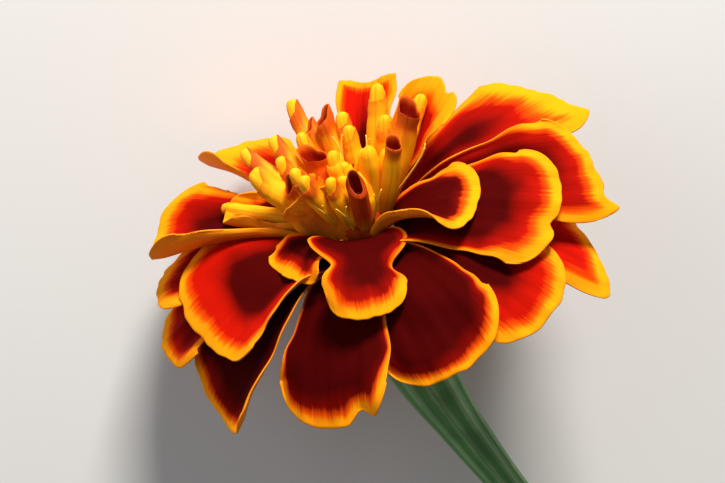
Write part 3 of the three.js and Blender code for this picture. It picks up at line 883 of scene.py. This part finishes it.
@dataclass
class DiscFlorets:
    """The crest of rolled florets with the forked styles between them."""

    lie: Lie
    tall: tuple[Quill, ...]
    finish: FloretFinish = FloretFinish()
    style_finish: StyleFinish = StyleFinish()
    short_count: int = 30
    golden_angle: float = 137.5
    base_height: float = 2.4
    sides: int = 28
    rings: int = 18
    wall: float = 0.16
    throat_depth: float = 2.6
    throat_steps: tuple[float, ...] = (0.05, 0.3, 0.8, 1.5)
    knob_lifts: tuple[int, ...] = (-20, -5, 15, 35, 52, 68, 82)
    knob_along: float = 0.7
    lip_part: float = 0.28
    notch: float = 0.26
    bow: float = 0.45
    foot_reach: float = 0.45
    foot_limit: float = 3.2
    elbow_room: float = 2.9
    crowded: float = 0.72
    heart_radius: float = 3.7
    heart_height: float = 0.85
    heart_knobs: int = 12
    heart_sides: int = 48
    style_roots: tuple[Triple, ...] = (
        (-40, 5.6, 7.4), (-12, 6.2, 7.0), (76, 10.4, 9.0), (28, 6.6, 7.2), (-66, 6.0, 7.8),
        (100, 4.2, 11.0), (160, 3.0, 11.4))
    thread: float = 0.15
    thread_taper: float = 0.07
    thread_sides: int = 8
    thread_rings: int = 18
    seed: int = 11
    slot: str = "disc_florets"
    nodes: tuple[str, ...] = ("disc_florets",)

    def draws(self, count: int) -> list[float]:
        """Draws repeatable numbers.

        Args:
            count: how many.

        Returns:
            Numbers between -1 and 1.
        """
        state, period, out = self.seed, 2 ** 32, []
        for _ in range(count):
            state = (state * 1664525 + 1013904223) % period
            out.append(state / period * 2 - 1)
        return out

    def quill(self, base: Array, mouth: Array, base_radius: float, quill: Quill) -> Shell:
        """Rolls one floret.

        Args:
            base: its foot.
            mouth: the middle of its mouth.
            base_radius: at its foot.
            quill: its shape and tone.

        Returns:
            The shell: a tube with two lips and the throat or a rounded bud inside, or a closed bud.
        """
        away = unit(np.array([mouth[0], mouth[1], 0.0]))
        middle = (base + mouth) / 2 + away * self.bow + np.array([0, 0, -0.5 * self.bow])
        corners = [base, base + (middle - base) * 2 / 3, mouth + (middle - mouth) * 2 / 3, mouth]
        turn = around(self.sides)
        facing = math.radians(quill.facing)
        lips = np.cos(turn - facing)
        length = np.linalg.norm(mouth - base)
        rings, measures = [], []

        def ring(along: float, radius: float, sink: float, inside: float, dome: float = 0.0) -> None:
            """Adds one ring to the sweep.

            Args:
                along: place on the axis.
                radius: before it is pinched.
                sink: how far back it lies.
                inside: 0 for the skin to 1 for the throat.
                dome: 0 at the lips to 1 at the top of the bud between them.
            """
            centre, ahead = bezier(corners, np.array([along]))
            centre, ahead = centre[0], ahead[0]
            sideways = unit(np.cross(np.array([0.1, 1.0, 0.2]), ahead))
            back = np.cross(ahead, sideways)
            shallow = min(1.0, max(0.0, 1 - sink / self.throat_depth))
            edge = ease((along - (1 - self.lip_part)) / self.lip_part) * shallow * (1 - dome)
            brim = ease((along - 0.86) / 0.14) * min(1.0, max(0.0, 1 - sink / 0.6))
            notch = self.notch * quill.mouth * np.exp(-(lips / 0.4) ** 2)
            rise = 0 * lips if quill.bud else edge * (quill.slant * lips - notch)
            collar = 0.14 * math.exp(-((along - 0.9) / 0.05) ** 2)
            closing = (1 - quill.gape) * (0.34 * brim ** 2 - collar)
            pinched = 1 - closing - 0.22 * edge * (1 - lips ** 2) + 0.1 * quill.gape * brim
            flared = radius * (pinched + 0.03 * np.sin(3 * turn + quill.azimuth))
            rings.append(centre - ahead * sink + sideways * (flared * np.cos(turn))[:, None]
                         + back * (flared * np.sin(turn))[:, None] + ahead * rise[:, None])
            measures.append({"along": self.knob_along if dome else along, "around": turn / (2 * math.pi),
                             "inside": inside, "tone": quill.tone})

        for along in np.linspace(0, 1, self.rings) ** 0.75:
            swelling = base_radius + (quill.mouth - base_radius) * along ** 1.1
            if quill.bud:
                closed = max(0.0, (along - (1 - self.lip_part)) / self.lip_part) ** 2.2
                swelling = max((base_radius + 0.3) * math.sqrt(max(0.0, 1 - closed)), 0.12)
            dent = 0.1 * math.exp(-((along - 0.86) / 0.08) ** 2)
            swelling *= 1 + 0.05 * math.sin(along * 7 + quill.azimuth) - dent
            ring(float(along), swelling, 0.0, 0.0)
        if quill.bud:
            return swept(rings, measures)
        lip = quill.mouth - self.wall / 2
        ring(1.0, lip, -0.05, 0.45)
        if quill.knob:
            core = (quill.mouth - self.wall) * 0.92
            for lift in self.knob_lifts:
                angle = math.radians(lift)
                ring(1.0, core * math.cos(angle), -quill.knob * math.sin(angle), 0.0,
                     dome=max(0.05, math.sin(angle)))
            return swept(rings, measures)
        for depth in (*self.throat_steps, self.throat_depth):
            narrower = 1 - 0.35 * min(1.0, depth / length) ** 0.5
            ring(1.0, (quill.mouth - self.wall) * narrower, depth, min(1.0, 0.55 + depth * 0.4))
        return swept(rings, measures)

    def tall_florets(self) -> Shell:
        """Makes the florets that stand highest.

        Returns:
            Them all as one shell.
        """
        shells = []
        for quill in self.tall:
            foot = min(self.foot_limit, quill.radius * self.foot_reach)
            base = cylindrical(quill.azimuth, foot, self.base_height)
            mouth = cylindrical(quill.azimuth, quill.radius, quill.height)
            shells.append(self.quill(base, mouth, 0.25 + 0.6 * quill.mouth, quill))
        return Shell.joined(shells)

    def short_florets(self) -> Shell:
        """Makes the florets that fill the middle.

        Returns:
            Them all as one shell.
        """
        shells = []
        draws = iter(self.draws(2 * self.short_count))
        for count in range(self.short_count):
            ring = math.sqrt((count + 0.5) / self.short_count)
            azimuth = 60 + count * self.golden_angle
            upright = 90 - (30 - 20 * math.cos(math.radians(azimuth))) * ring + 7 * next(draws)
            length = 7.5 + 1.5 * ring + 1.6 * next(draws)
            base = cylindrical(azimuth, 2.0 * ring, self.base_height)
            mouth = base + heading(azimuth, upright) * length
            nearest = min(np.linalg.norm(mouth - cylindrical(tall.azimuth, tall.radius, tall.height))
                          for tall in self.tall)
            if nearest < self.elbow_room:
                mouth = base + heading(azimuth, upright) * length * self.crowded
            bud = count % 2 == 1 and count > 5
            quill = Quill(azimuth, 0, 0, 1.25, facing=110 + 40 * math.sin(count), slant=0.5, gape=0.5,
                          tone=0.2 * math.sin(count * 2.3), knob=0.0 if count % 6 == 0 else 1.1, bud=bud)
            shells.append(self.quill(base, mouth, 1.0, quill))
        return Shell.joined(shells)

    def heart(self) -> Shell:
        """Makes the knobbly heart that the florets grow from.

        Returns:
            Its shell.
        """
        rings, measures = [], []
        turn = around(self.heart_sides)
        for lift in np.linspace(-80, 80, 28):
            angle = math.radians(lift)
            knobs = 1 + 0.035 * np.sin(turn * self.heart_knobs + lift * 0.3) * np.cos(lift * 0.25)
            radius = self.heart_radius * math.cos(angle) * knobs
            level = self.base_height + self.heart_height * self.heart_radius * math.sin(angle)
            rings.append(np.stack([radius * np.cos(turn), radius * np.sin(turn), level + 0 * turn], -1))
            measures.append({"along": 0.35, "around": turn / (2 * math.pi), "inside": 0.0, "tone": 0.95})
        return swept(rings, measures)

    def styles(self) -> Shell:
        """Makes the forked styles.

        Returns:
            Them all as one shell.
        """
        shells = []
        turn = around(self.thread_sides)
        for azimuth, radius, height in self.style_roots:
            foot = cylindrical(azimuth, radius * 0.55, height - 4.0)
            fork = cylindrical(azimuth, radius, height)
            for way in (-1, 1):
                tip = fork + heading(azimuth + 90 * way, 35) * 0.8 + heading(azimuth, 60) * 0.7
                corners = [foot, foot + (fork - foot) * 0.6, fork, tip]
                rings, measures = [], []
                for along in np.linspace(0, 1, self.thread_rings):
                    centre, ahead = (v[0] for v in bezier(corners, np.array([along])))
                    sideways = unit(np.cross(np.array([0.3, 1.0, 0.2]), ahead))
                    back = np.cross(ahead, sideways)
                    radius_here = self.thread - self.thread_taper * along
                    rings.append(centre + (sideways * np.cos(turn)[:, None]
                                           + back * np.sin(turn)[:, None]) * radius_here)
                    measures.append({"along": along})
                shells.append(swept(rings, measures))
        return Shell.joined(shells)

    def build(self) -> None:
        """Makes and dresses the florets and styles."""
        skin = self.finish.material()
        thread = self.style_finish.material()
        for name, shell, material in (
            ("tall_rolled_florets", self.tall_florets(), skin),
            ("short_rolled_florets", self.short_florets(), skin),
            ("floret_heart", self.heart(), skin),
            ("style_threads", self.styles(), thread),
        ):
            piece = shell.piece(name, self.lie, [material])
            if material is skin:
                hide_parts(*self.nodes)


# ---- stalk ----
@dataclass
class StalkAndCup:
    """The receptacle, the cup of joined bracts and the stalk below it.

    profile lists heights and radii from the top down, of which the first four are the receptacle's. rim
    lists height, radius and share of the tooth where the skin rounds the bracts' points.
    """

    lie: Lie
    finish: StalkFinish = StalkFinish()
    profile: tuple[Pair, ...] = (
        (1.0, 1.6), (0.4, 2.7), (-1.0, 3.7), (-2.9, 4.6), (-3.1, 5.5), (-5, 5.5), (-8, 5.3), (-12, 5.0),
        (-17, 4.4), (-22, 3.8), (-29, 3.0), (-38, 2.4), (-50, 2.0), (-62, 1.8), (-74, 1.7))
    rim: tuple[Triple, ...] = ((-4.2, 5.55, 0.4), (-3.3, 5.5, 1), (-3.0, 5.42, 1), (-2.8, 5.1, 1))
    cup_top: float = -5.0
    glands: Pair = (4.0, 22.0)
    bracts: int = 10
    tooth: float = 0.55
    relief: float = 0.035
    bend_start: float = 20.0
    bend_slope: float = 0.3
    bend_soft: float = 8.0
    sides: int = 120
    rings: int = 120
    slot: str = "stalk"
    node: str = "stalk_and_cup"

    def swing(self, height: float) -> float:
        """Returns how far the stalk has swung to the right at a height."""
        below = -height - self.bend_start
        return self.bend_slope * (math.hypot(below, self.bend_soft) + below) / 2

    def shell(self) -> Shell:
        """Sweeps the skin from the cut end up to the top of the receptacle.

        Returns:
            Its shell.
        """
        turn = around(self.sides)
        bract = np.cos(self.bracts * turn)
        heights, radii = np.array(self.profile[::-1]).T
        low = heights[0]
        sections = [(low + 0.25, radii[0] * 0.55, 0.0, 0.0), (low, radii[0] * 0.93, 0.0, self.relief)]
        sections += [(height, np.interp(height, heights, radii), 0.0, self.relief)
                     for height in np.linspace(low + 0.3, self.cup_top, self.rings)]
        sections += [(height, radius, self.tooth * share, self.relief)
                     for height, radius, share in self.rim]
        sections += [(height, radius, 0.0, 0.0) for height, radius in self.profile[3::-1]]

        rings, measures = [], []
        upper, lower = self.glands
        for height, radius, tooth, relief in sections:
            fluted = radius * (1 + relief * (bract - 0.35 * np.abs(np.sin(self.bracts * turn * 2))))
            rings.append(np.stack([fluted * np.cos(turn), self.swing(height) + fluted * np.sin(turn),
                                   height + tooth * bract], -1))
            gland = float(ease((-height - upper) / 3) * ease((lower + height) / 6))
            measures.append({"along": -height / 10, "around": turn / (2 * math.pi),
                             "rib": 0.5 + 0.5 * bract, "gland": gland})
        return swept(rings, measures)

    def build(self) -> None:
        """Makes and dresses the stalk."""
        piece = self.shell().piece("ribbed_cup_and_stalk", self.lie, [self.finish.material()])
        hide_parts(self.node)


# ---- studio ----
@dataclass(frozen=True)
class Lamp:
    """A soft panel: its place right of, above and in front of the head as the camera sees it."""

    name: str
    place: Triple
    size: float
    power: float
    colour: Colour


@dataclass
class Studio:
    """The pale table, the soft lights and the camera."""

    lie: Lie
    floor: FloorFinish = FloorFinish()
    lamps: tuple[Lamp, ...] = (
        Lamp("key_panel", (60, 440, 330), 150, 5.6, (1.0, 0.97, 0.92)),
        Lamp("fill_panel", (-420, 60, 420), 500, 0.7, (0.94, 0.97, 1.0)),
    )
    sky: Colour = (0.93, 0.95, 1.0)
    sky_power: float = 0.18
    elevation_deg: float = 28.0
    roll_deg: float = 20.0
    distance: float = 340.0
    lens: float = 140.1
    sensor: float = 36.0
    clip: Pair = (0.01, 20.0)
    aside: Pair = (-0.18, -0.54)
    floor_side: float = 4.0
    floor_drop: float = 0.0002

    def axes(self) -> tuple[Array, Array, Array]:
        """Turns the camera.

        Returns:
            Its right, up and back directions over the table.
        """
        e, t = math.radians(self.elevation_deg), math.radians(self.roll_deg)
        back = np.array([math.cos(e), 0, math.sin(e)])
        level, rising = np.array([0, 1.0, 0]), np.array([-math.sin(e), 0, math.cos(e)])
        turn = self.lie.axes()
        right = turn @ (math.cos(t) * level - math.sin(t) * rising)
        return right, turn @ (math.sin(t) * level + math.cos(t) * rising), turn @ back

    def spot(self, place: Triple) -> Vector:
        """Returns the point at a place right of, above and in front of the head."""
        right, up, back = self.axes()
        return Vector((np.array(self.lie.head_place) + right * place[0] + up * place[1]
                       + back * place[2]) * MM)

    def build(self) -> None:
        """Sets up the table, the lights and the camera."""
        bpy.ops.mesh.primitive_plane_add(size=self.floor_side, location=(0, 0, -self.floor_drop))
        table = bpy.context.object
        table.name = "pale_table"
        table.data.materials.append(self.floor.material())

        head = self.spot((0, 0, 0))
        for lamp in self.lamps:
            data = bpy.data.lights.new(lamp.name, "AREA")
            data.size, data.energy, data.color = lamp.size * MM, lamp.power, lamp.colour
            made = bpy.data.objects.new(lamp.name, data)
            made.location = self.spot(lamp.place)
            made.rotation_euler = (head - made.location).to_track_quat("-Z", "Y").to_euler()
            bpy.context.scene.collection.objects.link(made)

        world = bpy.data.worlds.new("soft_room")
        world.use_nodes = True
        glow = world.node_tree.nodes["Background"]
        glow.inputs["Color"].default_value = (*self.sky, 1.0)
        glow.inputs["Strength"].default_value = self.sky_power
        bpy.context.scene.world = world

        right, up, back = (Vector(v) for v in self.axes())
        data = bpy.data.cameras.new("camera")
        data.lens, data.sensor_width = self.lens, self.sensor
        data.clip_start, data.clip_end = self.clip
        camera = bpy.data.objects.new("camera", data)
        turned = Matrix((right, up, back)).transposed().to_4x4()
        turned.translation = self.spot((*self.aside, self.distance))
        camera.matrix_world = turned
        bpy.context.scene.collection.objects.link(camera)
        bpy.context.scene.camera = camera
        bpy.context.scene.view_settings.view_transform = "Standard"
        log.info("studio: %d lamps", len(self.lamps))


def main() -> None:
    """Builds the flower and the studio in order."""
    logging.basicConfig(level=logging.INFO, format="%(name)s: %(message)s")
    lie = Lie()
    StalkAndCup(lie).build()
    RayPetals(lie, PETALS).build()
    DiscFlorets(lie, TALL_QUILLS).build()
    Studio(lie).build()


if __name__ == "__main__":
    main()
